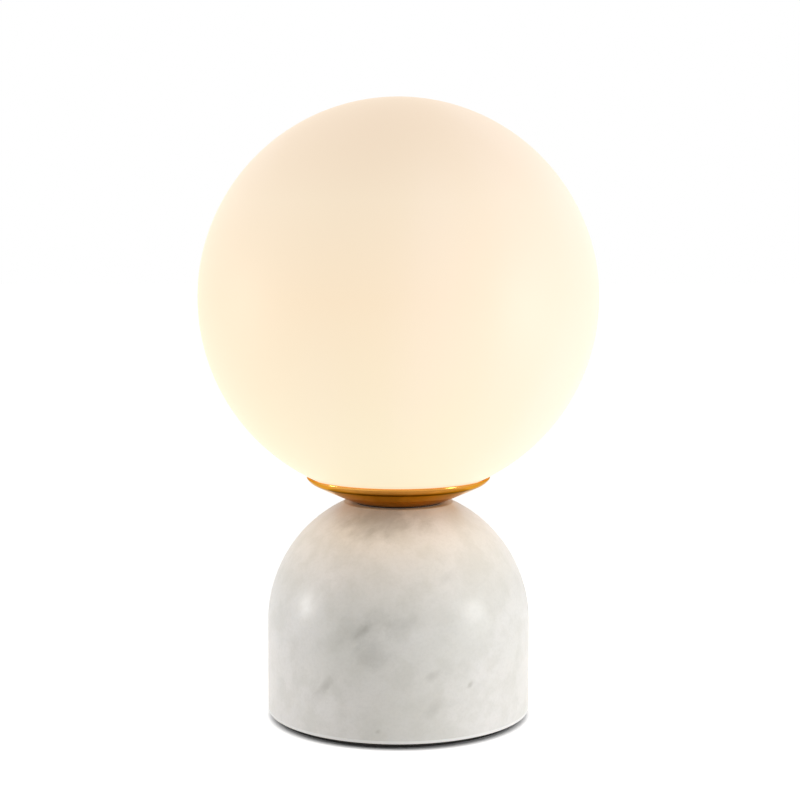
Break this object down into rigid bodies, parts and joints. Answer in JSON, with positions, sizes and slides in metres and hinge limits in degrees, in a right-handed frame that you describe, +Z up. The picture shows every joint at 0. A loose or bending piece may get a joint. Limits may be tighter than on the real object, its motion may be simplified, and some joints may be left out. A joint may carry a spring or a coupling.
{
  "type": "table lamp",
  "caption": "Globe table lamp: an opal glass globe resting in a spun brass dish on a domed marble base, with a plug-in bulb inside.",
  "frame": {"origin": "centre of the footprint, on the surface that the lamp stands on", "axes": "+Z up along the lamp's axis; the front is towards -Y and the cord inlet is at the back, towards +Y"},
  "size_m": [0.2, 0.2, 0.3105],
  "materials": {
    "marble": "honed white marble with soft grey veins",
    "spun_brass": "spun and satin polished, lacquered",
    "opal_glass": "blown opal glass, satin outside, lit from inside",
    "felt": "pressed felt, glued on",
    "polished_steel": "polished edge, bright plated",
    "plated_steel": "bright zinc plated",
    "spring_steel": "rolled spring steel, bright",
    "insert_brass": "turned, plain",
    "bushing_nylon": "moulded black nylon",
    "black_rubber": "cut from sheet",
    "black_fibre": "punched vulcanised fibre",
    "silicone": "moulded, translucent white",
    "steatite": "unglazed fired steatite",
    "nickel": "nickel plated",
    "white_nylon": "moulded",
    "live_sleeve": "brown heat-proof silicone sleeve",
    "neutral_sleeve": "blue heat-proof silicone sleeve",
    "bulb_ceramic": "glazed white",
    "light_board": "white board with amber phosphor chips",
    "frosted_glass": "frosted inside"
  },
  "bodies": {
    "base": {"felt_pad": "felt", "base_plate": "polished_steel", "plate_screws": "plated_steel", "marble_inserts": "insert_brass", "marble_base": "marble", "cord_bushing": "bushing_nylon", "stem_tube": "plated_steel", "cushion_washer": "black_rubber", "stem_washer": "plated_steel", "bottom_nut": "plated_steel", "seat_washer": "black_fibre", "dish_locknut": "plated_steel", "fitter_dish": "spun_brass", "rim_gasket": "silicone", "globe_spring": "spring_steel", "socket_bracket": "plated_steel", "bracket_screws": "plated_steel", "socket_body": "steatite", "socket_contacts": "nickel", "terminal_block": "white_nylon", "terminal_clamps": "insert_brass", "terminal_screws": "plated_steel", "block_screw": "plated_steel", "live_lead": "live_sleeve", "neutral_lead": "neutral_sleeve"},
    "globe": {"glass_globe": "opal_glass"},
    "bulb": {"bulb_pins": "nickel", "bulb_base": "bulb_ceramic", "bulb_core": "light_board", "bulb_cover": "frosted_glass"}
  },
  "joints": [
    {"name": "globe_lift", "type": "slide", "parent": "base", "child": "globe", "axis": [0, 0, 1], "range_m": [0, 0.1]},
    {"name": "bulb_pull", "type": "slide", "parent": "base", "child": "bulb", "axis": [0, 0, 1], "range_m": [0, 0.03]}
  ]
}
